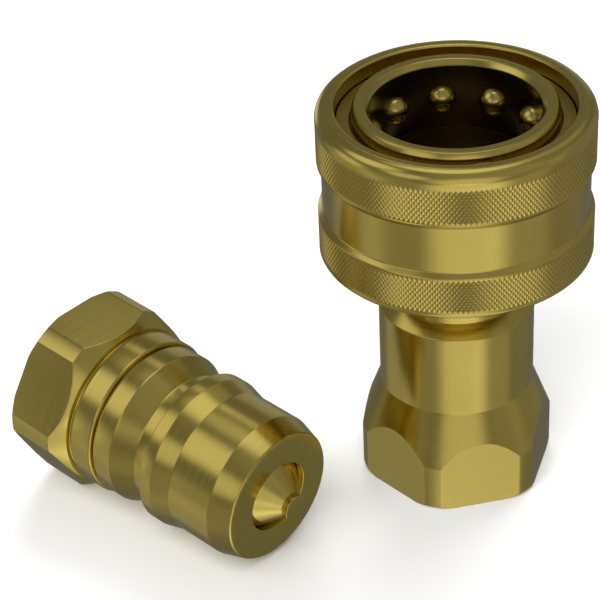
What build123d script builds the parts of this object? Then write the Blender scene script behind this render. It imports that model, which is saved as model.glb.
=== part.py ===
from build123d import *
import math
import os

# A ball-lock quick coupling for hydraulic hose, half-inch size, in turned brass, with both of its halves.
# The socket half stands on its hexagon with its axis on +Z, and its mouth is at the top.
# The plug half lies on the same floor in front and to the left of it. All sizes are millimetres.

# Sizes that the two halves share
plug_dia = 23.6
plug_gap = 0.1
seal_land_dia = 22.0
hex_flats = 26.0
hex_corner_dia = 28.6
port_dia = 20.955
port_mouth_dia = 22.4
flow_dia = 14.0
drill_taper = 1.8
joint_dia = 18.2
joint_gap = 0.05
valve_travel = 3.5
throat_dia = 10.7
chamber_dia = 14.6
head_dia = 13.2
stem_dia = 3.2
tip_dia = 3.7
tip_rim = 0.19
poppet_gap = 0.05
stem_tail = 3.2
valve_wire = 1.0
valve_spring_dia = 9.4
spring_play = 0.04
guide_thick = 1.4
guide_web = 2.0
guide_hub_dia = 5.6
guide_hub_long = 2.6
edge_break = 0.25
same_point = 0.001

# The plug's stations, from its nose face backwards
nose_dia = 20.0
nose_taper = 3.6
plug_valve_depth = 1.2
seal_land_end = 11.0
rib_start = 14.0
rib_end = 16.1
groove_dia = 20.2
groove_wall = 0.5
groove_end = 18.8
collar_start = 22.2
seam_at = 25.4
hex_start = 30.3
plug_length = 40.6
adapter_collar_dia = 24.5
undercut_width = 0.5
undercut_dia = 23.6
seam_width = 0.4
seam_depth = 0.45
plug_port_depth = 11.6
tip_proud = 3.4
plug_shoulder = 19.0
plug_chamfer_start_dia = 25.0
plug_hex_chamfer = 2.1
hex_back_chamfer = 0.7
hex_back_dia = 26.8

# The socket's body, depths from its mouth face downwards
coupler_length = 60.8
mouth_chamfer = 0.76
body_dia = 28.9
body_rim_dia = 28.0
body_rim_chamfer = 0.8
ball_depth = 6.1
stop_clearance = 0.5
flange_depth = 18.6
flange_thick = 3.2
skirt_dia = 27.2
skirt_depth = 25.2
waist_dia = 19.2
throat_long = 2.3
socket_tip_long = 2.2
neck_rise = 0.2
nose_cone_lead = 0.7
rib_cone_lead = 0.4

# The balls
ball_count = 10
ball_dia = 4.366
ball_gap = 0.03
ball_ring_radius = 12.35
ball_start_angle = 83.6

# The locking sleeve, heights from its lower face
sleeve_length = 23.1
sleeve_dia = 39.1
sleeve_waist_dia = 37.8
sleeve_mouth_dia = 33.5
sleeve_edge_radius = 1.8
sleeve_foot_chamfer = 0.6
lower_band_height = 6.7
waist_height = 8.2
band_chamfer = 0.65
lock_gap = 0.22
lock_lead = 0.05
ramp_top_dia = 32.9
lock_land_below = 1.7
sleeve_guide_long = 1.2
sleeve_gap = 0.05
sleeve_wall = 1.6

# The ring that keeps the sleeve on the body
ring_depth = 2.3
ring_thick = 0.65
ring_outer_gap = 0.2
ring_bite = 0.4
ring_bevel = 0.35
ring_split = 3.0
ring_play = 0.05

# The sleeve spring
sleeve_wire = 1.2
sleeve_spring_turns = 3.0
socket_spring_turns = 3.5
plug_spring_turns = 5.5

# The seals
seal_cord = 2.4
seal_squeeze = 0.22
seal_groove_above_nose = 4.6
seal_groove_width = 3.5
backup_thick = 0.95
seal_room = 0.05
joint_cord = 1.0
joint_groove_width = 1.3
joint_groove_back = 0.5
valve_cord = 1.0

# The socket's adapter, heights from the floor
waist_show = 1.45
spigot_long = 9.15
flow_land = 5.4
neck_dia = 22.6
neck_chamfer = 1.7
hex_height = 7.6
hex_cone_top = 15.5
foot_chamfer = 0.5
foot_dia = 27.4

# Where the plug lies: its nose centre on the floor plan, and the way that its nose points
plug_nose_x = -30.9
plug_nose_y = -16.4
plug_heading = -54.4

bore_radius = plug_dia / 2 + plug_gap
seal_bore_radius = seal_land_dia / 2 + plug_gap
throat_radius = throat_dia / 2
chamber_radius = chamber_dia / 2
joint_radius = joint_dia / 2
pocket_radius = joint_radius + joint_gap
stem_radius = stem_dia / 2
tip_radius = tip_dia / 2
head_radius = head_dia / 2
ball_radius = ball_dia / 2
body_radius = body_dia / 2

# When the halves are joined, the balls sit in the groove behind the plug's rib.
ball_inset = ball_ring_radius - plug_dia / 2
ball_behind_rib = math.sqrt(ball_radius**2 - ball_inset**2) + ball_gap
mated_nose_depth = ball_depth + rib_end + ball_behind_rib
stop_z = coupler_length - mated_nose_depth - stop_clearance
mated_nose_z = coupler_length - mated_nose_depth


def turned(outline):
    """A solid of revolution about Z from (radius, height) points."""
    face = make_face(Polyline(*[(r, 0, z) for r, z in outline], close=True))
    return revolve(face, Axis.Z)


def hexagon(height, base):
    """A hexagon bar with a corner on +X, from the height base upwards."""
    bar = RegularPolygon(hex_flats / 2, 6, major_radius=False, rotation=0)
    return Pos(0, 0, base) * extrude(bar, height)


def ring_of(cord_dia, ring_radius, z):
    """A round-section ring about Z."""
    return Pos(0, 0, z) * Torus(ring_radius, cord_dia / 2)


def coil(wire_dia, mean_dia, low, high, turns):
    """A compression spring between two flat seats, as a round wire on a helix."""
    start = low + wire_dia / 2 + spring_play
    rise = high - low - wire_dia - 2 * spring_play
    path = Pos(0, 0, start) * Helix(rise / turns, rise, mean_dia / 2)
    section = Plane(path @ 0, z_dir=path % 0) * Circle(wire_dia / 2)
    return sweep(section, path, is_frenet=True)


def spring_guide(face_z):
    """The three-armed plate that carries a valve stem and seats its spring; its spring face is at face_z."""
    rim_inner = flow_dia / 2 - edge_break
    plate = Cylinder(joint_radius, guide_thick, align=(Align.CENTER, Align.CENTER, Align.MAX))
    window = Cylinder(rim_inner, guide_thick, align=(Align.CENTER, Align.CENTER, Align.MAX))
    arm = Box(rim_inner + edge_break, guide_web, guide_thick, align=(Align.MIN, Align.CENTER, Align.MAX))
    arms = [Rot(0, 0, 120 * i) * arm for i in range(3)]
    hub = Cylinder(guide_hub_dia / 2, guide_hub_long, align=(Align.CENTER, Align.CENTER, Align.MAX))
    hole = Cylinder(stem_radius + poppet_gap, 3 * guide_hub_long)
    return Pos(0, 0, face_z) * ((plate - window) + arms[0] + arms[1] + arms[2] + hub - hole)


def valve_seal_ring(seat_sum):
    """The ring let into a poppet's cone; seat_sum is the radius plus height of every point of the seat cone."""
    reach = valve_cord / 2 + poppet_gap / 2
    middle = (throat_radius + head_radius) / 2 - edge_break
    return ring_of(valve_cord, middle, seat_sum - reach * math.sqrt(2) - middle)


def poppet(tip_z, cone_z, neck_z, seat_sum, guide_z):
    """A valve poppet, tip up: tip, cone, seat cone, head, spring pilot and the stem through its guide."""
    cone_sum = seat_sum - poppet_gap
    neck_radius = cone_sum - neck_z
    head_z = cone_sum - head_radius
    back_z = head_z - edge_break - guide_thick
    pilot_radius = (valve_spring_dia - valve_wire) / 2 - 2 * poppet_gap
    outline = [
        (0, tip_z),
        (tip_radius + tip_rim, tip_z),
        (tip_radius + tip_rim, tip_z - edge_break),
        (tip_radius, tip_z - 2 * edge_break),
        (tip_radius, cone_z),
        (neck_radius, cone_z - (neck_radius - tip_radius)),
        (neck_radius, neck_z),
        (head_radius, head_z),
        (head_radius, back_z),
        (pilot_radius, back_z),
        (pilot_radius, back_z - valve_wire),
        (stem_radius, back_z - valve_wire),
        (stem_radius, guide_z - guide_hub_long - stem_tail),
        (0, guide_z - guide_hub_long - stem_tail),
    ]
    points = [outline[0]]
    for point in outline[1:]:
        if math.dist(point, points[-1]) > same_point:
            points.append(point)
    solid = turned(points) - valve_seal_ring(seat_sum)
    return solid, back_z


# The socket half, from the floor upwards
waist_top = coupler_length - skirt_depth - (skirt_dia - waist_dia) / 2
adapter_height = waist_top - waist_show
pocket_floor = adapter_height - spigot_long
port_depth = pocket_floor - flow_land - drill_taper
spring_face_z = pocket_floor + guide_thick
throat_low = stop_z - throat_long
seat_sum_socket = throat_low + throat_radius


def coupler_adapter():
    """The rear end of the socket: a hexagon with a threaded port, turned down to the neck."""
    outside = turned([
        (0, 0),
        (foot_dia / 2, 0),
        (hex_corner_dia / 2, foot_chamfer),
        (hex_corner_dia / 2, hex_height),
        (neck_dia / 2, hex_cone_top),
        (neck_dia / 2, adapter_height - neck_chamfer),
        (neck_dia / 2 - neck_chamfer, adapter_height),
        (0, adapter_height),
    ])
    mouth = (port_mouth_dia - port_dia) / 2
    inside = turned([
        (0, 0),
        (port_mouth_dia / 2, 0),
        (port_dia / 2, mouth),
        (port_dia / 2, port_depth),
        (flow_dia / 2, port_depth + drill_taper),
        (flow_dia / 2, pocket_floor),
        (pocket_radius, pocket_floor),
        (pocket_radius, adapter_height),
        (0, adapter_height),
    ])
    return (outside & hexagon(adapter_height, 0)) - inside


def seal_groove_low():
    """The height of the lower wall of the groove for the seal that grips the plug."""
    return mated_nose_z + seal_groove_above_nose


def seal_groove_radius():
    """The floor radius of that groove, so that the seal stands into the bore by its squeeze."""
    return seal_land_dia / 2 - seal_squeeze + seal_cord + poppet_gap


def ball_pocket():
    """One ball's hole, drilled inwards to a round bottom, so that a lip keeps the ball from falling in."""
    drill = ball_radius + ball_gap
    bottom = Sphere(drill)
    shaft = Rot(0, 90, 0) * Cylinder(drill, body_dia, align=(Align.CENTER, Align.CENTER, Align.MIN))
    return Pos(ball_ring_radius, 0, coupler_length - ball_depth) * (bottom + shaft)


def joint_groove(edge_z):
    """The groove round a joint's spigot for its seal; edge_z is the wall nearer to the joint's face."""
    floor = joint_radius - joint_cord + poppet_gap
    return turned([
        (floor, edge_z - joint_groove_width),
        (joint_radius + joint_cord, edge_z - joint_groove_width),
        (joint_radius + joint_cord, edge_z),
        (floor, edge_z),
    ])


def joint_seal(edge_z):
    """The seal in that groove."""
    floor = joint_radius - joint_cord + poppet_gap
    return ring_of(joint_cord - poppet_gap, floor + joint_cord / 2, edge_z - joint_groove_width / 2)


def coupler_body():
    """The front body of the socket: bore, ball holes, seal groove, spring flange and valve seat."""
    top = coupler_length
    flange_top = top - flange_depth
    skirt_low = top - skirt_depth
    outside = turned([
        (0, spring_face_z),
        (joint_radius, spring_face_z),
        (joint_radius, adapter_height),
        (waist_dia / 2, adapter_height),
        (waist_dia / 2, waist_top),
        (skirt_dia / 2, skirt_low),
        (skirt_dia / 2, flange_top - flange_thick),
        (sleeve_bore_radius() - sleeve_gap, flange_top - flange_thick),
        (sleeve_bore_radius() - sleeve_gap, flange_top),
        (body_radius, flange_top),
        (body_radius, top - body_rim_chamfer),
        (body_rim_dia / 2, top),
        (0, top),
    ])
    guide_top = mated_nose_z + rib_start - rib_cone_lead
    guide_low = mated_nose_z + seal_land_end - nose_cone_lead
    nose_seat_top = mated_nose_z + nose_taper - nose_cone_lead
    inside = turned([
        (0, spring_face_z),
        (chamber_radius, spring_face_z),
        (chamber_radius, seat_sum_socket - chamber_radius),
        (throat_radius, throat_low),
        (throat_radius, stop_z),
        (nose_dia / 2 + plug_gap, stop_z),
        (seal_bore_radius, nose_seat_top),
        (seal_bore_radius, guide_low),
        (bore_radius, guide_top),
        (bore_radius, top - mouth_chamfer),
        (bore_radius + mouth_chamfer, top),
        (0, top),
    ])
    low = seal_groove_low()
    seal_groove = turned([
        (0, low),
        (seal_groove_radius(), low),
        (seal_groove_radius(), low + seal_groove_width),
        (0, low + seal_groove_width),
    ])
    ring_groove = turned([
        (body_radius - ring_bite, top - ring_depth - ring_thick - ring_play / 2),
        (body_radius + ring_bite, top - ring_depth - ring_thick - ring_play / 2),
        (body_radius + ring_bite, top - ring_depth + ring_play / 2),
        (body_radius - ring_bite, top - ring_depth + ring_play / 2),
    ])
    body = outside - inside - seal_groove - ring_groove - joint_groove(adapter_height - joint_groove_back)
    for i in range(ball_count):
        body -= Rot(0, 0, ball_angle(i)) * ball_pocket()
    return body


def ball_angle(i):
    """The direction of ball i about the axis, from +X."""
    return 360 / ball_count * i + ball_start_angle


def sleeve_bore_radius():
    """The sleeve's wide bore, which runs on the body's flange and holds the spring."""
    return sleeve_waist_dia / 2 - sleeve_wall


def sleeve():
    """The knurled sleeve's form: two raised bands, the waist between them, and the locking land inside."""
    top = coupler_length
    low = top - sleeve_length
    outer = sleeve_dia / 2
    waist = sleeve_waist_dia / 2
    ball_z = top - ball_depth
    land = ball_ring_radius + ball_radius + lock_gap
    land_low = ball_z - lock_land_below
    shoulder_z = top - ring_depth - ring_thick - ring_play
    mouth = sleeve_mouth_dia / 2
    band_low = low + lower_band_height + waist_height
    solid = turned([
        (sleeve_bore_radius(), low),
        (outer - sleeve_foot_chamfer, low),
        (outer, low + sleeve_foot_chamfer),
        (outer, low + lower_band_height),
        (waist, low + lower_band_height + band_chamfer),
        (waist, band_low - band_chamfer),
        (outer, band_low),
        (outer, top),
        (mouth + edge_break, top),
        (mouth, top - edge_break),
        (mouth, shoulder_z),
        (ramp_top_dia / 2, shoulder_z),
        (land, ball_z + lock_lead),
        (land, land_low),
        (body_radius + sleeve_gap, land_low),
        (body_radius + sleeve_gap, land_low - sleeve_guide_long),
        (sleeve_bore_radius(), land_low - sleeve_guide_long),
    ])
    rim = solid.edges().filter_by(GeomType.CIRCLE).group_by(Axis.Z)[-1].sort_by(SortBy.RADIUS)[-1]
    return fillet(rim, sleeve_edge_radius)


def spring_seat_z():
    """The underside of the sleeve's inner land, where the spring pushes it up."""
    return coupler_length - ball_depth - lock_land_below - sleeve_guide_long


def sleeve_spring():
    """The spring between the body's flange and the sleeve's land."""
    mean_dia = body_radius + sleeve_bore_radius()
    flange_top = coupler_length - flange_depth
    return coil(sleeve_wire, mean_dia, flange_top, spring_seat_z(), sleeve_spring_turns)


def sleeve_retaining_ring():
    """The split ring in the body's groove that stops the sleeve, with a bevelled inner edge."""
    top = coupler_length - ring_depth
    low = top - ring_thick
    inner = body_radius - ring_bite + ring_play / 2
    ring = turned([
        (inner, low),
        (sleeve_mouth_dia / 2 - ring_outer_gap, low),
        (sleeve_mouth_dia / 2 - ring_outer_gap, top),
        (body_radius + ring_bevel, top),
        (body_radius + ring_play, top - ring_bevel),
        (inner, top - ring_bevel),
    ])
    split = Box(ring_split, sleeve_mouth_dia, 4 * ring_thick, align=(Align.CENTER, Align.MAX, Align.CENTER))
    return ring - Pos(0, 0, top) * split


def interface_seal():
    """The round seal in the bore that grips the plug."""
    centre = seal_groove_radius() - poppet_gap / 2 - seal_cord / 2
    return ring_of(seal_cord, centre, seal_groove_low() + seal_room + seal_cord / 2)


def backup_ring():
    """The flat ring beside that seal, which keeps it from being pushed out of its groove."""
    inner = seal_bore_radius + poppet_gap
    outer = seal_groove_radius() - poppet_gap / 2
    high = seal_groove_low() + seal_groove_width - seal_room
    return turned([(inner, high - backup_thick), (outer, high - backup_thick), (outer, high), (inner, high)])


def ball():
    """One locking ball, at rest on its lip."""
    return Pos(ball_ring_radius, 0, coupler_length - ball_depth) * Sphere(ball_radius)


def valve_spring(back_z, guide_z, turns):
    """The spring behind a poppet, between its head and its guide."""
    return coil(valve_wire, valve_spring_dia, guide_z, back_z, turns)


# The plug half, nose up with its nose face at height 0, before it is laid down
plug_guide_z = -plug_shoulder
plug_seat_sum = throat_radius - plug_valve_depth


def hex_rest_station():
    """The station where the flat that the plug lies on starts, behind the turned chamfer."""
    start = plug_chamfer_start_dia / 2
    share = (hex_flats / 2 - start) / (hex_corner_dia / 2 - start)
    return hex_start + share * plug_hex_chamfer


def plug_place():
    """The lying plug: it rests on its rib's front edge and on the front of one flat, nose slightly down."""
    drop = math.atan2(hex_flats / 2 - plug_dia / 2, hex_rest_station() - rib_start)
    height = plug_dia / 2 * math.cos(drop) - rib_start * math.sin(drop)
    heading = math.radians(plug_heading)
    forward = Vector(
        math.cos(drop) * math.cos(heading),
        math.cos(drop) * math.sin(heading),
        -math.sin(drop),
    )
    side = Vector(-math.sin(heading), math.cos(heading), 0)
    return Plane(origin=(plug_nose_x, plug_nose_y, height), x_dir=side, z_dir=forward).location


def nipple_body():
    """The plug's front body: nose, seal land, rib, ball groove and collar, with the valve seat inside."""
    outside = turned([
        (0, 0),
        (nose_dia / 2 - edge_break, 0),
        (nose_dia / 2, -edge_break),
        (seal_land_dia / 2, -nose_taper),
        (seal_land_dia / 2, -seal_land_end),
        (plug_dia / 2, -rib_start),
        (plug_dia / 2, -rib_end),
        (groove_dia / 2, -rib_end - groove_wall),
        (groove_dia / 2, -groove_end),
        (plug_dia / 2, -collar_start),
        (plug_dia / 2, -seam_at),
        (0, -seam_at),
    ])
    seat_z = plug_seat_sum - throat_radius
    inside = turned([
        (0, 0),
        (throat_radius, 0),
        (throat_radius, seat_z),
        (chamber_radius, plug_seat_sum - chamber_radius),
        (chamber_radius, -plug_shoulder),
        (pocket_radius, -plug_shoulder),
        (pocket_radius, -seam_at),
        (0, -seam_at),
    ])
    return outside - inside


def nipple_adapter():
    """The plug's rear end: the hexagon with its threaded port, a collar, and the spigot into the body."""
    spigot_end = plug_guide_z - guide_thick
    collar = adapter_collar_dia / 2
    outside = turned([
        (0, spigot_end),
        (joint_radius, spigot_end),
        (joint_radius, -seam_at),
        (plug_dia / 2 - seam_depth, -seam_at),
        (plug_dia / 2 - seam_depth, -seam_at - seam_width),
        (collar - edge_break, -seam_at - seam_width),
        (collar, -seam_at - seam_width - edge_break),
        (collar, -hex_start + undercut_width + edge_break),
        (collar - edge_break, -hex_start + undercut_width),
        (undercut_dia / 2, -hex_start + undercut_width),
        (undercut_dia / 2, -hex_start),
        (plug_chamfer_start_dia / 2, -hex_start),
        (hex_corner_dia / 2, -hex_start - plug_hex_chamfer),
        (hex_corner_dia / 2, -plug_length + hex_back_chamfer),
        (hex_back_dia / 2, -plug_length),
        (0, -plug_length),
    ])
    mouth = (port_mouth_dia - port_dia) / 2
    port_end = -plug_length + plug_port_depth
    inside = turned([
        (0, spigot_end),
        (flow_dia / 2, spigot_end),
        (flow_dia / 2, port_end + drill_taper),
        (port_dia / 2, port_end),
        (port_dia / 2, -plug_length + mouth),
        (port_mouth_dia / 2, -plug_length),
        (0, -plug_length),
    ])
    groove = joint_groove(-seam_at + joint_groove_back + joint_groove_width)
    return (outside & hexagon(plug_length, -plug_length)) - inside - groove


def build():
    """Every piece of the coupling in its place, by name."""
    pieces = {
        "coupler_body": coupler_body(),
        "coupler_adapter": coupler_adapter(),
        "coupler_body_seal": joint_seal(adapter_height - joint_groove_back),
        "coupler_spring_guide": spring_guide(spring_face_z),
        "sleeve": sleeve(),
        "sleeve_spring": sleeve_spring(),
        "sleeve_retaining_ring": sleeve_retaining_ring(),
        "interface_seal": interface_seal(),
        "backup_ring": backup_ring(),
    }
    for i in range(ball_count):
        pieces[f"ball_{i + 1:02d}"] = Rot(0, 0, ball_angle(i)) * ball()

    # Joined, the two tips meet and each poppet stands open by its travel.
    socket_tip_z = mated_nose_z - tip_proud + 2 * valve_travel
    socket_poppet, socket_back = poppet(
        socket_tip_z,
        socket_tip_z - socket_tip_long,
        throat_low + neck_rise,
        seat_sum_socket,
        spring_face_z,
    )
    pieces["coupler_poppet"] = socket_poppet
    pieces["coupler_poppet_seal"] = valve_seal_ring(seat_sum_socket)
    pieces["coupler_poppet_spring"] = valve_spring(socket_back, spring_face_z, socket_spring_turns)

    place = plug_place()
    cone_z = plug_seat_sum - poppet_gap - tip_radius
    plug_poppet, plug_back = poppet(tip_proud, cone_z, cone_z, plug_seat_sum, plug_guide_z)
    lying = {
        "nipple_body": nipple_body(),
        "nipple_adapter": nipple_adapter(),
        "nipple_body_seal": joint_seal(-seam_at + joint_groove_back + joint_groove_width),
        "nipple_spring_guide": spring_guide(plug_guide_z),
        "nipple_poppet": plug_poppet,
        "nipple_poppet_seal": valve_seal_ring(plug_seat_sum),
        "nipple_poppet_spring": valve_spring(plug_back, plug_guide_z, plug_spring_turns),
    }
    for name, solid in lying.items():
        pieces[name] = place * solid
    return pieces


os.makedirs("parts", exist_ok=True)
for name, solid in build().items():
    export_step(solid, f"parts/{name}.step")
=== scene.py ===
import math

import bmesh
import bpy
from mathutils import Matrix, Vector


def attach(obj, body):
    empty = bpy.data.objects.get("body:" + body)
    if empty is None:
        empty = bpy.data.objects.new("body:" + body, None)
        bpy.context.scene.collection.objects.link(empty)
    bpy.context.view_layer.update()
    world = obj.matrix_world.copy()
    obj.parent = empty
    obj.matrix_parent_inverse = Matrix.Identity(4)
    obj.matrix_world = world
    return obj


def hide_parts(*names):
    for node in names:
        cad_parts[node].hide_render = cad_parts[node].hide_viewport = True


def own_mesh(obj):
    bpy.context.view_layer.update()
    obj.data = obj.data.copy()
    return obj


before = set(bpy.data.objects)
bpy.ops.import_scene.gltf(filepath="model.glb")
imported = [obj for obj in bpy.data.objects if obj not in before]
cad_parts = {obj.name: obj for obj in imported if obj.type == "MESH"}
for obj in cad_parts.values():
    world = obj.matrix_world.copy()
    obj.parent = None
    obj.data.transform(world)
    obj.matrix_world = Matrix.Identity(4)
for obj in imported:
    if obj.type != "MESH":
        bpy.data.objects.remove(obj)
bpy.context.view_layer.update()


# The camera
# A long lens looks down on the pair from in front, a little from the left and tilted by a few degrees.
# The place was fitted to the rims, the balls and the hexagons in the photograph.
MM = 0.001
camera_place = (-73.4, -257.6, 209.85)
camera_turn = (55.886, 2.41, -12.672)
camera_lens = 133.2
sensor_width = 36.0
nearest_seen = 10

camera_data = bpy.data.cameras.new("camera")
camera_data.lens = camera_lens
camera_data.sensor_width = sensor_width
camera_data.clip_start = nearest_seen * MM
camera = bpy.data.objects.new("camera", camera_data)
camera.location = [c * MM for c in camera_place]
camera.rotation_euler = [math.radians(a) for a in camera_turn]
bpy.context.scene.collection.objects.link(camera)
bpy.context.scene.camera = camera
bpy.context.scene.view_settings.view_transform = "Standard"


# The studio
# The pair stands on a large sheet of plain white matt card, under two soft boxes, in a darker room with
# soft patches of light. The metal mirrors the room and not the card, as where a background is lit alone.
def linear(hex_colour):
    """An sRGB hex colour as linear red, green, blue and alpha."""
    parts = [int(hex_colour[i:i + 2], 16) / 255 for i in (1, 3, 5)]
    return [c / 12.92 if c <= 0.04045 else ((c + 0.055) / 1.055) ** 2.4 for c in parts] + [1.0]


def add_node(tree, kind, settings=None, links=None):
    """A node with its settings, which are attributes or sockets, and the links into it."""
    node = tree.nodes.new(kind)
    for key, value in (settings or {}).items():
        if isinstance(key, str) and hasattr(node, key):
            setattr(node, key, value)
        else:
            node.inputs[key].default_value = value
    for key, source in (links or {}).items():
        tree.links.new(source.outputs[0] if hasattr(source, "outputs") else source, node.inputs[key])
    return node


card_colour = "#FBFBFA"
card_roughness = 0.9
card_shine = 0.1
card_half = 3.0

card_material = bpy.data.materials.new("white_card_matt")
card_material.use_nodes = True
card_shader = card_material.node_tree.nodes["Principled BSDF"]
card_shader.inputs["Base Color"].default_value = linear(card_colour)
card_shader.inputs["Roughness"].default_value = card_roughness
card_shader.inputs["Specular IOR Level"].default_value = card_shine

card_mesh = bpy.data.meshes.new("card_floor")
card_corners = [(x * card_half, y * card_half, 0) for x, y in ((-1, -1), (1, -1), (1, 1), (-1, 1))]
card_mesh.from_pydata(card_corners, [], [(0, 1, 2, 3)])
card = bpy.data.objects.new("card_floor", card_mesh)
card_mesh.materials.append(card_material)
card.visible_glossy = False
bpy.context.scene.collection.objects.link(card)

# Each soft patch of light in the room: azimuth, elevation and half width in degrees, and strength.
# A patch has its full strength over patch_core of its width.
room_level = 0.16
patch_core = 0.35
room_patches = [
    (-97, -40, 36, 0.55),
    (-95, -66, 30, 0.45),
    (-98, 5, 37, 0.48),
    (-50, -38, 32, 0.17),
    (2, -6, 46, 0.07),
    (-40, 8, 34, 0.1),
    (-15, 38, 30, 0.06),
    (74, 77, 26, 0.7),
    (80, 45, 7, 0.5),
    (170, 43, 25, 0.62),
    (165, -3, 20, 0.46),
    (158, -36, 34, 0.19),
    (104, -8, 14, 0.6),
    (-146, 25, 22, 0.5),
    (-75, 52, 45, 0.12),
    (68, 2, 22, 0.18),
    (42, 48, 22, 0.14),
    (-162, -24, 36, 0.11),
]
world = bpy.data.worlds.new("studio_room")
bpy.context.scene.world = world
world.use_nodes = True
room = world.node_tree
room.nodes.clear()
room_direction = add_node(room, "ShaderNodeTexCoord")
room_light = add_node(room, "ShaderNodeValue")
room_light.outputs[0].default_value = room_level
for azimuth, elevation, width, strength in room_patches:
    a = math.radians(azimuth)
    e = math.radians(elevation)
    toward = (math.cos(a) * math.cos(e), math.sin(a) * math.cos(e), math.sin(e))
    along = add_node(
        room,
        "ShaderNodeVectorMath",
        {"operation": "DOT_PRODUCT", 1: toward},
        {0: room_direction.outputs["Generated"]},
    )
    patch = add_node(
        room,
        "ShaderNodeMapRange",
        {
            "interpolation_type": "SMOOTHERSTEP",
            "From Min": math.cos(math.radians(width)),
            "From Max": math.cos(math.radians(width * patch_core)),
            "To Max": strength,
        },
        {"Value": along.outputs["Value"]},
    )
    room_light = add_node(room, "ShaderNodeMath", {"operation": "ADD"}, {0: room_light, 1: patch})
# Behind the card's far edge the camera sees a plain pale wall, which the metal doesn't.
wall_level = 0.86
seen_by = add_node(room, "ShaderNodeLightPath")
wall_or_room = add_node(
    room,
    "ShaderNodeMix",
    {"data_type": "FLOAT", 3: wall_level},
    {0: seen_by.outputs["Is Camera Ray"], 2: room_light},
)
room_background = add_node(
    room, "ShaderNodeBackground", {"Color": linear("#FFFFFF")}, {"Strength": wall_or_room}
)
add_node(room, "ShaderNodeOutputWorld", {}, {"Surface": room_background})

# Soft boxes: name, place and aim in metres, width and height in metres, watts.
soft_boxes = [
    ("key_box", (-0.55, -0.75, 1.05), (0, 0, 0.03), (1.2, 1.2), 18.0),
    ("back_box", (0.5, 0.8, 0.9), (0, 0, 0.03), (1.2, 1.0), 14.0),
]
for box_name, place, aim, box_size, watts in soft_boxes:
    box_light = bpy.data.lights.new(box_name, "AREA")
    box_light.shape = "RECTANGLE"
    box_light.size, box_light.size_y = box_size
    box_light.energy = watts
    soft_box = bpy.data.objects.new(box_name, box_light)
    soft_box.location = place
    soft_box.rotation_euler = (Vector(aim) - Vector(place)).to_track_quat("-Z", "Y").to_euler()
    soft_box.visible_glossy = False
    bpy.context.scene.collection.objects.link(soft_box)


# The socket's adapter
# Free-machining brass bar, 26 mm across its flats, turned down to the neck and bored with a half-inch pipe
# thread. The lathe leaves fine rings round the axis and cuts each flat off in an arc.
flats = 26.0
turned_corner = 14.3
foot_radius = 13.7
foot_height = 0.5
cone_low = 7.6
neck_radius = 11.3
neck_low = 15.5
neck_high = 28.45
adapter_top_radius = 9.6
adapter_top = neck_high + neck_radius - adapter_top_radius
spigot_pocket_radius = 9.15
spigot_pocket_low = 21.0
flow_radius = 7.0
flow_low = 15.6
port_radius = 10.4775
port_end = 13.8
port_mouth_radius = 11.2
port_chamfer = port_mouth_radius - port_radius
thread_pitch = 1.814
thread_height = 1.162
thread_start = 0.9
thread_stop = 0.2
edge_ease = 0.12
smallest_rise = 0.02
noise_low = 0.3
noise_high = 0.7
gloss_above = 0.03
gloss_below = 0.04


def turned_brass(
    name, tint="#DDC768", deep="#CFB95E", roughness=0.2, ring_mm=0.3, ring_depth=0.03, round_marks=True
):
    """Free-machining brass as turned: satin gold-green metal with fine rings round its Z axis.
    The real feed marks are about 0.1 mm apart, too fine to show, so they are drawn at ring_mm.
    Without round_marks they are the straight lines of a face that was milled across."""
    mark_slant = 0.02
    mark_height = 0.02
    bloom_mm = 9
    material = bpy.data.materials.new(name)
    material.use_nodes = True
    tree = material.node_tree
    shader = tree.nodes["Principled BSDF"]
    where = add_node(tree, "ShaderNodeTexCoord")
    flat = add_node(
        tree, "ShaderNodeVectorMath", {"operation": "MULTIPLY", 1: (1, 1, 0)}, {0: where.outputs["Object"]}
    )
    radius = add_node(tree, "ShaderNodeVectorMath", {"operation": "LENGTH"}, {0: flat})
    axial = add_node(tree, "ShaderNodeSeparateXYZ", {}, {0: where.outputs["Object"]})
    across = add_node(
        tree, "ShaderNodeMath", {"operation": "ADD"}, {0: axial.outputs["X"], 1: axial.outputs["Y"]}
    )
    slow = add_node(tree, "ShaderNodeMath", {"operation": "MULTIPLY", 1: mark_slant}, {0: across})
    rings_at = add_node(
        tree,
        "ShaderNodeCombineXYZ",
        {},
        {1: slow, 2: axial.outputs["Z"]} | ({0: radius.outputs["Value"]} if round_marks else {}),
    )
    rings = add_node(
        tree,
        "ShaderNodeTexNoise",
        {"Scale": 1 / (ring_mm * MM), "Detail": 3.0, "Roughness": 0.6},
        {"Vector": rings_at},
    )
    bloom = add_node(
        tree,
        "ShaderNodeTexNoise",
        {"Scale": 1 / (bloom_mm * MM), "Detail": 2.0},
        {"Vector": where.outputs["Object"]},
    )
    colour = add_node(
        tree,
        "ShaderNodeMix",
        {"data_type": "RGBA", 6: linear(tint), 7: linear(deep)},
        {"Factor": bloom.outputs["Fac"]},
    )
    gloss = add_node(
        tree,
        "ShaderNodeMapRange",
        {
            "From Min": noise_low,
            "From Max": noise_high,
            "To Min": roughness - gloss_above,
            "To Max": roughness + gloss_below,
        },
        {"Value": rings.outputs["Fac"]},
    )
    relief = add_node(
        tree,
        "ShaderNodeBump",
        {"Strength": ring_depth, "Distance": mark_height * MM},
        {"Height": rings.outputs["Fac"]},
    )
    shader.inputs["Metallic"].default_value = 1.0
    tree.links.new(colour.outputs[2], shader.inputs["Base Color"])
    tree.links.new(gloss.outputs[0], shader.inputs["Roughness"])
    tree.links.new(relief.outputs[0], shader.inputs["Normal"])
    return material


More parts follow.
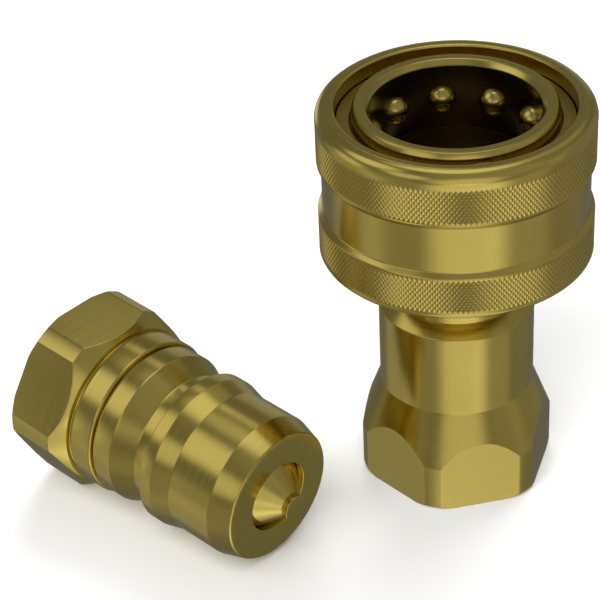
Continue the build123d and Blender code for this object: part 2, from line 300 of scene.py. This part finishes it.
def eased(outline, ease=edge_ease):
    """The closed outline with every corner cut back by ease, or less where its sides are short."""
    largest_share = 0.4
    points = []
    for i, here in enumerate(outline):
        for there in (outline[i - 1], outline[(i + 1) % len(outline)]):
            side = math.dist(here, there)
            share = min(ease / side, largest_share) if side > 1e-6 and here[0] > 0 else 0.0
            points.append((here[0] + (there[0] - here[0]) * share, here[1] + (there[1] - here[1]) * share))
    return points


def columns(step=1.5):
    """The directions round the axis, in degrees, that a turned piece's mesh has a column in."""
    return [i * step for i in range(round(360 / step))]


def weigh_normals(piece):
    """Shades flat faces flat up to their softened edges, and leaves sharp edges sharp.
    The weights are by area, and too small to count in metres, so the mesh is in millimetres meanwhile."""
    sharp_from = math.radians(50)
    edit = bmesh.new()
    edit.from_mesh(piece.data)
    for edge in edit.edges:
        edge.smooth = edge.smooth and edge.calc_face_angle(0) < sharp_from
    edit.to_mesh(piece.data)
    edit.free()
    piece.data.transform(Matrix.Scale(1 / MM, 4))
    weighting = piece.modifiers.new("flat_faces_stay_flat", "WEIGHTED_NORMAL")
    weighting.keep_sharp = True
    weighed = changed_mesh(piece)
    piece.modifiers.remove(weighting)
    weighed.transform(Matrix.Scale(MM, 4))
    piece.data = weighed


def changed_mesh(piece):
    """A new mesh of the piece as its modifiers leave it."""
    bpy.context.view_layer.update()
    return bpy.data.meshes.new_from_object(piece.evaluated_get(bpy.context.evaluated_depsgraph_get()))


def add_turned(name, outline_at, directions, materials, place=None, knurled=()):
    """A turned piece as a mesh: outline_at gives its closed outline of (radius, height) in each direction.
    Between the outline's rows in knurled, peaks and hollows alternate, the cells are cut along the hollows,
    and the faces are flat and take the second material."""
    rows = [outline_at(a) for a in directions]
    count = len(rows[0])
    verts = []
    for a, row in zip(directions, rows):
        c = math.cos(math.radians(a))
        s = math.sin(math.radians(a))
        verts += [(r * c * MM, r * s * MM, z * MM) for r, z in row]
    faces = []
    for i in range(len(rows)):
        here = i * count
        there = (i + 1) % len(rows) * count
        for j in range(count):
            cell = (here + j, there + j, there + (j + 1) % count, here + (j + 1) % count)
            if j not in knurled:
                faces.append(cell)
            elif (i + j) % 2:
                faces += [cell[:3], (cell[0], cell[2], cell[3])]
            else:
                faces += [(cell[0], cell[1], cell[3]), cell[1:]]
    mesh = bpy.data.meshes.new(name)
    mesh.from_pydata(verts, [], faces)
    edit = bmesh.new()
    edit.from_mesh(mesh)
    bmesh.ops.remove_doubles(edit, verts=edit.verts, dist=1e-7)
    bmesh.ops.dissolve_degenerate(edit, edges=edit.edges, dist=1e-8)
    bmesh.ops.recalc_face_normals(edit, faces=edit.faces)
    edit.to_mesh(mesh)
    edit.free()
    mesh.shade_smooth()
    for material in materials:
        mesh.materials.append(material)
    for face in mesh.polygons:
        cut = bool(knurled) and len(face.vertices) == 3
        face.use_smooth = not cut
        face.material_index = int(cut)
    piece = bpy.data.objects.new(name, mesh)
    bpy.context.scene.collection.objects.link(piece)
    if place:
        piece.matrix_world = place
    weigh_normals(piece)
    return piece


def hexagon_reach(direction):
    """The hexagon's radius in a direction. It has a corner at 0 degrees."""
    return flats / 2 / math.cos(math.radians((direction % 60) - 30))


def hexagon_meet():
    """The direction in which a turned corner meets the flat beside it."""
    return 30 - math.degrees(math.acos(flats / 2 / turned_corner))


def hexagon_columns():
    """The columns of a hexagon's mesh. Two stand close together where each flat meets a turned corner, to
    soften the edge between them, and the others stand closer together towards them."""
    flat_cells = 34
    corner_cells = 8
    edge_width = 0.5
    crowding = 0.08
    meet = hexagon_meet()
    directions = []
    for i in range(6):
        for low, high, cells in ((meet, 60 - meet, flat_cells), (60 - meet, 60 + meet, corner_cells)):
            span = high - low - edge_width
            start = 60 * i + low + edge_width / 2
            steps = [j / cells for j in range(cells + 1)]
            directions += [start + span * (t - crowding * math.sin(2 * math.pi * t)) for t in steps]
    return directions


def thread_wall(direction, low, high):
    """The wall of a right-hand pipe thread between two heights, as rows of (radius, height). It runs out at
    both ends."""
    row_height = 0.12
    run_out = 0.9
    root_share = 0.14
    roundness = 0.35
    rows = []
    steps = round((high - low) / row_height)
    for i in range(steps + 1):
        z = low + (high - low) * i / steps
        turn = (z / thread_pitch - direction / 360) % 1
        wave = abs(2 * turn - 1)
        crest = min(max((wave - root_share) / (1 - 2 * root_share), 0.0), 1.0)
        crest = crest * crest * (3 - 2 * crest) * roundness + crest * (1 - roundness)
        fade = min((z - low) / run_out, (high - z) / run_out, 1.0)
        rows.append((port_radius - thread_height * crest * max(fade, 0.0), z))
    return rows


def socket_adapter_outline(direction):
    """The adapter's section in one direction. On a flat the cone starts higher and the chamfer is smaller."""
    reach = min(turned_corner, hexagon_reach(direction))
    cone_start = cone_low + (turned_corner - reach) * (neck_low - cone_low) / (turned_corner - neck_radius)
    foot = min(reach, foot_radius)
    foot_high = max(smallest_rise, (reach - foot_radius) / (turned_corner - foot_radius) * foot_height)
    outer = eased([
        (port_mouth_radius, 0),
        (foot, 0),
        (reach, foot_high),
        (reach, cone_start),
        (neck_radius, neck_low),
        (neck_radius, neck_high),
        (adapter_top_radius, adapter_top),
        (spigot_pocket_radius, adapter_top),
        (spigot_pocket_radius, spigot_pocket_low),
        (flow_radius, spigot_pocket_low),
        (flow_radius, flow_low),
        (port_radius, port_end),
        (port_radius, port_chamfer),
    ])
    return outer[:-1] + thread_wall(direction, thread_start, port_end - thread_stop)[::-1] + outer[-1:]


def finish_flats(piece):
    """Gives the hexagon's six flats, which stand beyond every turned collar, the second material."""
    collars_within = 12.3
    largest_slope = 0.1
    for face in piece.data.polygons:
        side = math.degrees(math.atan2(face.center.y, face.center.x)) % 60
        beyond = math.hypot(face.center.x, face.center.y) > collars_within * MM
        upright = abs(face.normal.z) < largest_slope
        if beyond and upright and hexagon_meet() < side < 60 - hexagon_meet():
            face.material_index = 1


brass_bar = turned_brass("free_machining_brass_turned")
# The flats have straight lines from the cutter, and are a little duller than what the lathe turned.
brass_flat = turned_brass("free_machining_brass_milled", "#D0BB62", "#C9B45D", 0.24, round_marks=False)
hexagon_finishes = [brass_bar, brass_flat]
socket_adapter = add_turned(
    "socket_adapter_hexagon", socket_adapter_outline, hexagon_columns(), hexagon_finishes
)
finish_flats(socket_adapter)
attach(socket_adapter, "housings")
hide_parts("coupler_adapter")


# The socket's body
# Turned from brass bar: a bore for the plug, a groove for its seal, a flange for the sleeve's spring and,
# below, the valve's seat. Ten round-bottomed holes are drilled from outside and stop short, so the balls
# can't fall in.
ball_count = 10
ball_height = 54.7
ball_ring_radius = 12.35
ball_drill_radius = 2.213
ball_drill_length = 5
first_ball = 83.6
body_top = 60.8
body_radius = 14.45
rim_radius = 14.0
rim_low = 60.0
mouth_chamfer = 0.76
ball_bore_radius = 11.9
stop_high = 50.057
stop_low = 46.757
bore_radius = 11.1
bore_low = 39.357
bore_floor = 35.957
bore_floor_radius = 10.1
seal_groove_radius = 13.23
seal_groove_high = 44.557
seal_groove_low = 41.057
seat_radius = 5.35
chamber_radius = 7.3
chamber_high = 31.707
seat_low = chamber_high + chamber_radius - seat_radius
ring_groove_radius = 14.05
ring_groove_high = 58.525
ring_groove_low = 57.825
flange_radius = 17.25
flange_high = 42.2
flange_low = 39.0
skirt_radius = 13.6
skirt_low = 35.6
spigot_radius = 9.1
spigot_low = 22.4
spigot_groove_radius = 8.15
spigot_groove_high = 29.65
spigot_groove_low = 28.35

socket_body_outline = eased([
    (chamber_radius, spigot_low),
    (chamber_radius, chamber_high),
    (seat_radius, seat_low),
    (seat_radius, bore_floor),
    (bore_floor_radius, bore_floor),
    (bore_radius, bore_low),
    (bore_radius, seal_groove_low),
    (seal_groove_radius, seal_groove_low),
    (seal_groove_radius, seal_groove_high),
    (bore_radius, seal_groove_high),
    (bore_radius, stop_low),
    (ball_bore_radius, stop_high),
    (ball_bore_radius, body_top - mouth_chamfer),
    (ball_bore_radius + mouth_chamfer, body_top),
    (rim_radius, body_top),
    (body_radius, rim_low),
    (body_radius, ring_groove_high),
    (ring_groove_radius, ring_groove_high),
    (ring_groove_radius, ring_groove_low),
    (body_radius, ring_groove_low),
    (body_radius, flange_high),
    (flange_radius, flange_high),
    (flange_radius, flange_low),
    (skirt_radius, flange_low),
    (skirt_radius, skirt_low),
    (adapter_top_radius, skirt_low - skirt_radius + adapter_top_radius),
    (adapter_top_radius, adapter_top),
    (spigot_radius, adapter_top),
    (spigot_radius, spigot_groove_high),
    (spigot_groove_radius, spigot_groove_high),
    (spigot_groove_radius, spigot_groove_low),
    (spigot_radius, spigot_groove_low),
    (spigot_radius, spigot_low),
])


def round_drill(radius, length):
    """The hole's form, a rod with a round end, along Z from its round end's centre."""
    steps = 12
    turns = [-math.pi / 2 * (1 - i / steps) for i in range(steps + 1)]
    rows = [(radius * math.cos(a), radius * math.sin(a)) for a in turns]
    rows += [(radius, length), (0, length)]
    return [(max(r, 0.0), z) for r, z in rows]


# Inside the bore the brass is painted darker, as painted shade for the deep bore.
bore_brass_painted_shade = turned_brass("brass_bore_painted_shade", "#8C7C45", "#7B6B38", 0.22)
bore_shade_radius = 12.4
bore_shade_low = 36.5
bore_shade_high = 60.2
socket_body = add_turned("socket_body", lambda a: socket_body_outline, columns(), [brass_bar, bore_brass_painted_shade])
ball_hole_outline = round_drill(ball_drill_radius, ball_drill_length)
for i in range(ball_count):
    angle = math.radians(first_ball + 360 / ball_count * i)
    out = Vector((math.cos(angle), math.sin(angle), 0))
    ball_place = out * ball_ring_radius + Vector((0, 0, ball_height))
    hole_place = Matrix.Translation(ball_place * MM) @ out.to_track_quat("Z", "Y").to_matrix().to_4x4()
    hole = add_turned("ball_hole", lambda a: ball_hole_outline, columns(10), [brass_bar], hole_place)
    drilling = socket_body.modifiers.new("ball_hole", "BOOLEAN")
    drilling.object = hole
    drilling.solver = "EXACT"
    drilled = changed_mesh(socket_body)
    socket_body.modifiers.remove(drilling)
    socket_body.data = drilled
    bpy.data.objects.remove(hole)
# Faces inside the bore take the darker material: painted shade.
for face in socket_body.data.polygons:
    inside = math.hypot(face.center.x, face.center.y) < bore_shade_radius * MM
    if inside and bore_shade_low * MM < face.center.z < bore_shade_high * MM:
        face.material_index = 1
weigh_normals(socket_body)
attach(socket_body, "housings")
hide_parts("coupler_body")


# The balls
# Ten ground and burnished brass balls. They stay as the solids are and take a smoother, brighter finish.
def plain_metal(name, tint, roughness):
    """A metal surface without rings, with a little cloudiness in its gloss."""
    cloud_mm = 1.5
    material = bpy.data.materials.new(name)
    material.use_nodes = True
    tree = material.node_tree
    shader = tree.nodes["Principled BSDF"]
    where = add_node(tree, "ShaderNodeTexCoord")
    cloud = add_node(
        tree,
        "ShaderNodeTexNoise",
        {"Scale": 1 / (cloud_mm * MM), "Detail": 3.0},
        {"Vector": where.outputs["Object"]},
    )
    gloss = add_node(
        tree,
        "ShaderNodeMapRange",
        {
            "From Min": noise_low,
            "From Max": noise_high,
            "To Min": roughness - gloss_above,
            "To Max": roughness + gloss_below,
        },
        {"Value": cloud.outputs["Fac"]},
    )
    shader.inputs["Base Color"].default_value = linear(tint)
    shader.inputs["Metallic"].default_value = 1.0
    tree.links.new(gloss.outputs[0], shader.inputs["Roughness"])
    return material


def finish_nodes(material, *names):
    """Gives CAD pieces that stay as they are a material."""
    for name in names:
        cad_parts[name].material_slots[0].material = material


ball_brass = plain_metal("brass_ball_burnished", "#D2BC68", 0.2)
finish_nodes(ball_brass, *[f"ball_{i + 1:02d}" for i in range(ball_count)])


# The sleeve
# A turned brass ring that is pulled back by hand, with two raised bands that a wheel has rolled a fine
# diamond knurl into. The rolled points are 0.7 mm apart around it and 0.9 mm along it, and each stands up
# by about 0.1 mm.
knurl_count = 180
knurl_depth = 0.12
knurl_rise = 0.9
knurl_edge_share = 0.6
lower_knurl = (38.75, 44.15)
upper_knurl = (52.85, 58.3)
sleeve_radius = 19.55
sleeve_low = 37.7
sleeve_chamfer = 0.6
sleeve_round = 1.8
waist_radius = 18.9
waist_low = 44.4
waist_high = 52.6
mouth_radius = 16.75
mouth_low = 57.8
mouth_ease = 0.25
ramp_radius = 16.45
lock_radius = 14.753
lock_high = 54.75
lock_low = 53.0
guide_radius = 14.5
spring_stop = 51.8
spring_bore_radius = 17.3

waist_depth = sleeve_radius - waist_radius
sleeve_waist = eased([
    (sleeve_radius, waist_low - 0.4),
    (sleeve_radius, waist_low),
    (waist_radius, waist_low + waist_depth),
    (waist_radius, waist_high - waist_depth),
    (sleeve_radius, waist_high),
    (sleeve_radius, waist_high + 0.4),
])[2:-2]
sleeve_inside = eased([
    (sleeve_radius, body_top),
    (mouth_radius + mouth_ease, body_top),
    (mouth_radius, body_top - mouth_ease),
    (mouth_radius, mouth_low),
    (ramp_radius, mouth_low),
    (lock_radius, lock_high),
    (lock_radius, lock_low),
    (guide_radius, lock_low),
    (guide_radius, spring_stop),
    (spring_bore_radius, spring_stop),
    (spring_bore_radius, sleeve_low),
    (sleeve_radius - sleeve_chamfer, sleeve_low),
    (sleeve_radius, sleeve_low + sleeve_chamfer),
    (sleeve_radius, 40.0),
])[2:-2]
sleeve_top_round = []
for a in range(0, 91, 10):
    across = sleeve_radius - sleeve_round + sleeve_round * math.cos(math.radians(a))
    sleeve_top_round.append((across, body_top - sleeve_round + sleeve_round * math.sin(math.radians(a))))


def knurled_band(low, high, direction_index):
    """The outline's points over a knurled band, from the bottom up, with peaks and hollows in turn."""
    rows = round((high - low) / (knurl_rise / 2))
    points = []
    for j in range(rows + 1):
        depth = knurl_depth * (knurl_edge_share if j in (0, rows) else (direction_index + j) % 2)
        points.append((sleeve_radius - depth, low + (high - low) * j / rows))
    return points


lower_rows = range(len(knurled_band(*lower_knurl, 0)) - 1)
upper_start = len(lower_rows) + 1 + len(sleeve_waist)
upper_rows = range(upper_start, upper_start + len(knurled_band(*upper_knurl, 0)) - 1)


def sleeve_outline(direction):
    """The sleeve's section in one direction. Peaks and hollows change places from column to column."""
    index = round(direction / 360 * knurl_count * 2)
    lower = knurled_band(*lower_knurl, index)
    upper = knurled_band(*upper_knurl, index + upper_start)
    return lower + sleeve_waist + upper + sleeve_top_round + sleeve_inside


# Deeper lines than on the other pieces show that the waist was brushed.
sleeve_brass = turned_brass("free_machining_brass_brushed", ring_depth=0.12)
# The rolled hollows are painted darker than the points, as painted shade.
knurl_hollow_shade_colour = "#C4AE5C"
knurl_point_share = 0.4
knurl_brass = turned_brass("brass_knurled_painted_hollow_shade", roughness=0.23)
knurl_tree = knurl_brass.node_tree
knurl_shader = knurl_tree.nodes["Principled BSDF"]
crest_colour = knurl_shader.inputs["Base Color"].links[0].from_socket
knurl_where = add_node(knurl_tree, "ShaderNodeTexCoord")
knurl_flat = add_node(
    knurl_tree,
    "ShaderNodeVectorMath",
    {"operation": "MULTIPLY", 1: (1, 1, 0)},
    {0: knurl_where.outputs["Object"]},
)
knurl_radius = add_node(knurl_tree, "ShaderNodeVectorMath", {"operation": "LENGTH"}, {0: knurl_flat})
crest = add_node(
    knurl_tree,
    "ShaderNodeMapRange",
    {
        "From Min": (sleeve_radius - knurl_depth) * MM,
        "From Max": (sleeve_radius - knurl_point_share * knurl_depth) * MM,
    },
    {"Value": knurl_radius.outputs["Value"]},
)
# Painted shade: the colour darkens from the points down into the hollows.
knurl_hollow_shade_mix = add_node(
    knurl_tree,
    "ShaderNodeMix",
    {"data_type": "RGBA", 6: linear(knurl_hollow_shade_colour)},
    {"Factor": crest, 7: crest_colour},
)
knurl_tree.links.new(knurl_hollow_shade_mix.outputs[2], knurl_shader.inputs["Base Color"])
sleeve = add_turned(
    "locking_sleeve_knurled",
    sleeve_outline,
    columns(360 / knurl_count / 2),
    [sleeve_brass, knurl_brass],
    knurled=[*lower_rows, *upper_rows],
)
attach(sleeve, "sleeve")
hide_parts("sleeve")


# The springs
# Spring steel wire, closed and ground flat at both ends. The large one lifts the sleeve, and the two small
# ones hold the valves shut. The plug's own spring is made with its valve, further down.
sleeve_wire = 1.2
sleeve_coil_radius = 15.875
valve_wire = 1.0
valve_coil_radius = 4.7
socket_poppet_back = 30.707


def add_spring(name, wire, mean_radius, low, high, turns, material, place=None):
    """A compression spring from low to high: a tube on a helix, with a dead turn ground flat at each end."""
    around = 12
    steps_a_turn = 40
    seat_gap = 0.04
    steps = round((turns + 2) * steps_a_turn)
    rise = (high - low - 1.5 * wire) / turns
    verts = []
    for i in range(steps + 1):
        turn = i / steps_a_turn
        z = low + wire * (0.25 + 0.5 * min(turn, 1)) + rise * min(max(turn - 1, 0), turns)
        z += wire * 0.5 * min(max(turn - 1 - turns, 0), 1)
        a = 2 * math.pi * turn
        for k in range(around):
            b = 2 * math.pi * k / around
            r = mean_radius + wire / 2 * math.cos(b)
            h = min(max(z + wire / 2 * math.sin(b), low + seat_gap), high - seat_gap)
            verts.append((r * math.cos(a) * MM, r * math.sin(a) * MM, h * MM))
    faces = []
    for i in range(steps):
        here = i * around
        there = here + around
        for k in range(around):
            beside = (k + 1) % around
            faces.append((here + k, here + beside, there + beside, there + k))
    faces += [tuple(range(around))[::-1], tuple(steps * around + k for k in range(around))]
    mesh = bpy.data.meshes.new(name)
    mesh.from_pydata(verts, [], faces)
    mesh.shade_smooth()
    mesh.materials.append(material)
    spring = bpy.data.objects.new(name, mesh)
    bpy.context.scene.collection.objects.link(spring)
    if place:
        spring.matrix_world = place
    return spring


# Hard-drawn wire with a thin phosphate coat: dark grey, with a dull shine.
phosphated_wire = plain_metal("spring_steel_wire_phosphated", "#6E6C68", 0.34)
sleeve_coil = add_spring(
    "sleeve_spring_wire", sleeve_wire, sleeve_coil_radius, flange_high, spring_stop, 2, phosphated_wire
)
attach(sleeve_coil, "sleeve_turner")
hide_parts("sleeve_spring")
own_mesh(sleeve_coil)

socket_valve_coil = add_spring(
    "socket_valve_spring_wire",
    valve_wire,
    valve_coil_radius,
    spigot_low,
    socket_poppet_back,
    2.5,
    phosphated_wire,
)
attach(socket_valve_coil, "housings")
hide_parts("coupler_poppet_spring")
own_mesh(socket_valve_coil)


# The socket's valve
# A turned brass poppet with a rubber ring in its cone. Its stem runs in a three-armed brass plate.
tip_radius = 2.04
tip_height = 0.25
tip_stem_radius = 1.85
head_radius = 6.6
hub_radius = 4.1
hub_height = 1.0
stem_radius = 1.6
poppet_ease = 0.06


def poppet_outline(tip, cone, neck_radius, neck, head, back, stem_end):
    """A poppet's section, from its stem's end along the axis to its tip and back down outside."""
    return eased([
        (0, stem_end),
        (0, tip),
        (tip_radius, tip),
        (tip_radius, tip - tip_height),
        (tip_stem_radius, tip - 2 * tip_height),
        (tip_stem_radius, cone),
        (neck_radius, cone - (neck_radius - tip_stem_radius)),
        (neck_radius, neck),
        (head_radius, head),
        (head_radius, back),
        (hub_radius, back),
        (hub_radius, back - hub_height),
        (stem_radius, back - hub_height),
        (stem_radius, stem_end),
    ], poppet_ease)


# Turned finer than the bodies, and a little softer in its shine.
valve_brass = turned_brass("free_machining_brass_fine_turned", roughness=0.22)
socket_poppet_outline = poppet_outline(
    tip=40.057,
    cone=37.857,
    neck_radius=5.1,
    neck=33.857,
    head=32.357,
    back=socket_poppet_back,
    stem_end=16.6,
)
socket_poppet = add_turned(
    "socket_valve_poppet", lambda a: socket_poppet_outline, columns(3), [valve_brass]
)
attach(socket_poppet, "coupler_valve")
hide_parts("coupler_poppet")

# The two guide plates and the split ring are punched from sheet and shine less than turned brass; their
# darker tint is painted shade, for the ring in the shaded gap between the sleeve and the body.
punched_brass_painted_shade = plain_metal("brass_sheet_punched_painted_shade", "#B7A150", 0.28)
finish_nodes(punched_brass_painted_shade, "coupler_spring_guide", "nipple_spring_guide", "sleeve_retaining_ring")


# The seals
# Moulded nitrile rubber rings, matt black and slightly dusty, and one PTFE ring, waxy white.
def soft_seal(name, tint, roughness):
    """A moulded or cut seal: one soft colour with a fine unevenness in its surface."""
    grain_mm = 0.4
    grain_height = 0.03
    material = bpy.data.materials.new(name)
    material.use_nodes = True
    tree = material.node_tree
    shader = tree.nodes["Principled BSDF"]
    where = add_node(tree, "ShaderNodeTexCoord")
    grain = add_node(
        tree,
        "ShaderNodeTexNoise",
        {"Scale": 1 / (grain_mm * MM), "Detail": 2.0},
        {"Vector": where.outputs["Object"]},
    )
    relief = add_node(
        tree,
        "ShaderNodeBump",
        {"Strength": 0.2, "Distance": grain_height * MM},
        {"Height": grain.outputs["Fac"]},
    )
    shader.inputs["Base Color"].default_value = linear(tint)
    shader.inputs["Roughness"].default_value = roughness
    shader.inputs["IOR"].default_value = 1.5
    tree.links.new(relief.outputs[0], shader.inputs["Normal"])
    return material


nitrile = soft_seal("nitrile_rubber_moulded", "#1E1E1D", 0.55)
ptfe = soft_seal("ptfe_ring_cut", "#DAD6C8", 0.45)
finish_nodes(nitrile, "interface_seal", "coupler_body_seal", "nipple_body_seal")
finish_nodes(nitrile, "coupler_poppet_seal", "nipple_poppet_seal")
finish_nodes(ptfe, "backup_ring")


# The plug's body
# Turned brass: a nose cone, a smooth land for the seal, a rib, the groove that the balls drop into, and a
# shoulder. It lies on the rib and on one flat of its hexagon. Heights are negative behind the nose's face.
plug_nose = Vector((-30.9, -16.4, 10.778))
plug_drop = math.radians(4.0655)
plug_heading = math.radians(-54.4)
face_radius = 9.75
face_chamfer = 0.25
land_radius = 11.0
land_front = -3.6
land_back = -11.0
rib_radius = 11.8
rib_front = -14.0
rib_back = -16.1
ball_groove_radius = 10.1
ball_groove_front = -16.6
ball_groove_back = -18.8
shoulder_front = -22.2
plug_joint = -25.4
plug_pocket = -19.0
plug_seat_back = -1.2

plug_forward = Vector((
    math.cos(plug_drop) * math.cos(plug_heading),
    math.cos(plug_drop) * math.sin(plug_heading),
    -math.sin(plug_drop),
))
plug_side = Vector((-math.sin(plug_heading), math.cos(plug_heading), 0))
plug_place = Matrix.Translation(plug_nose * MM) @ Matrix(
    (plug_side, plug_forward.cross(plug_side), plug_forward)
).transposed().to_4x4()

plug_body_outline = eased([
    (face_radius, 0),
    (face_radius + face_chamfer, -face_chamfer),
    (land_radius, land_front),
    (land_radius, land_back),
    (rib_radius, rib_front),
    (rib_radius, rib_back),
    (ball_groove_radius, ball_groove_front),
    (ball_groove_radius, ball_groove_back),
    (rib_radius, shoulder_front),
    (rib_radius, plug_joint),
    (spigot_pocket_radius, plug_joint),
    (spigot_pocket_radius, plug_pocket),
    (chamber_radius, plug_pocket),
    (chamber_radius, plug_seat_back - (chamber_radius - seat_radius)),
    (seat_radius, plug_seat_back),
    (seat_radius, 0),
])
plug_body = add_turned("plug_body", lambda a: plug_body_outline, columns(), [brass_bar], plug_place)
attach(plug_body, "housings")
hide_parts("nipple_body")


# The plug's adapter
# The rear end of the plug, from the same hexagon bar as the socket's, with a collar, an undercut and the
# port. Its spigot sits in the plug's body.
plug_back = -40.6
plug_foot_radius = 13.4
plug_foot_height = 0.7
hexagon_front = -30.3
hexagon_front_radius = 12.5
hexagon_front_chamfer = 2.1
undercut_radius = 11.8
undercut_front = -29.8
collar_radius = 12.25
collar_chamfer = 0.25
collar_front = -25.8
joint_groove_radius = 11.35
plug_spigot_groove_back = -24.9
plug_spigot_groove_front = -23.6
plug_spigot_front = -20.4
plug_flow_back = -27.2
plug_port_end = -29.0


def plug_adapter_outline(direction):
    """The adapter's section in one direction. On a flat, both chamfers of the hexagon grow narrower."""
    reach = min(turned_corner, hexagon_reach(direction))
    front_share = (reach - hexagon_front_radius) / (turned_corner - hexagon_front_radius)
    front = hexagon_front - hexagon_front_chamfer * front_share
    foot = min(reach, plug_foot_radius)
    foot_share = (reach - plug_foot_radius) / (turned_corner - plug_foot_radius)
    back = plug_back + max(smallest_rise, plug_foot_height * foot_share)
    outer = eased([
        (port_mouth_radius, plug_back),
        (foot, plug_back),
        (reach, back),
        (reach, front),
        (hexagon_front_radius, hexagon_front),
        (undercut_radius, hexagon_front),
        (undercut_radius, undercut_front),
        (collar_radius - collar_chamfer, undercut_front),
        (collar_radius, undercut_front + collar_chamfer),
        (collar_radius, collar_front - collar_chamfer),
        (collar_radius - collar_chamfer, collar_front),
        (joint_groove_radius, collar_front),
        (joint_groove_radius, plug_joint),
        (spigot_radius, plug_joint),
        (spigot_radius, plug_spigot_groove_back),
        (spigot_groove_radius, plug_spigot_groove_back),
        (spigot_groove_radius, plug_spigot_groove_front),
        (spigot_radius, plug_spigot_groove_front),
        (spigot_radius, plug_spigot_front),
        (flow_radius, plug_spigot_front),
        (flow_radius, plug_flow_back),
        (port_radius, plug_port_end),
        (port_radius, plug_back + port_chamfer),
    ])
    wall = thread_wall(direction, plug_back + thread_start, plug_port_end - thread_stop)
    return outer[:-1] + wall[::-1] + outer[-1:]


plug_adapter = add_turned(
    "plug_adapter_hexagon", plug_adapter_outline, hexagon_columns(), hexagon_finishes, plug_place
)
finish_flats(plug_adapter)
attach(plug_adapter, "housings")
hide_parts("nipple_adapter")


# The plug's valve
# The same kind of poppet. Its cone closes the hole just under the face, and its short nose stands proud.
plug_poppet_back = -4.15
plug_poppet_outline = poppet_outline(
    tip=3.4,
    cone=2.25,
    neck_radius=1.86,
    neck=2.24,
    head=-2.5,
    back=plug_poppet_back,
    stem_end=-24.8,
)
plug_poppet = add_turned(
    "plug_valve_poppet", lambda a: plug_poppet_outline, columns(3), [valve_brass], plug_place
)
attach(plug_poppet, "nipple_valve")
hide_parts("nipple_poppet")

plug_valve_coil = add_spring(
    "plug_valve_spring_wire",
    valve_wire,
    valve_coil_radius,
    plug_pocket,
    plug_poppet_back,
    5.5,
    phosphated_wire,
    plug_place,
)
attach(plug_valve_coil, "housings")
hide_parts("nipple_poppet_spring")
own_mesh(plug_valve_coil)
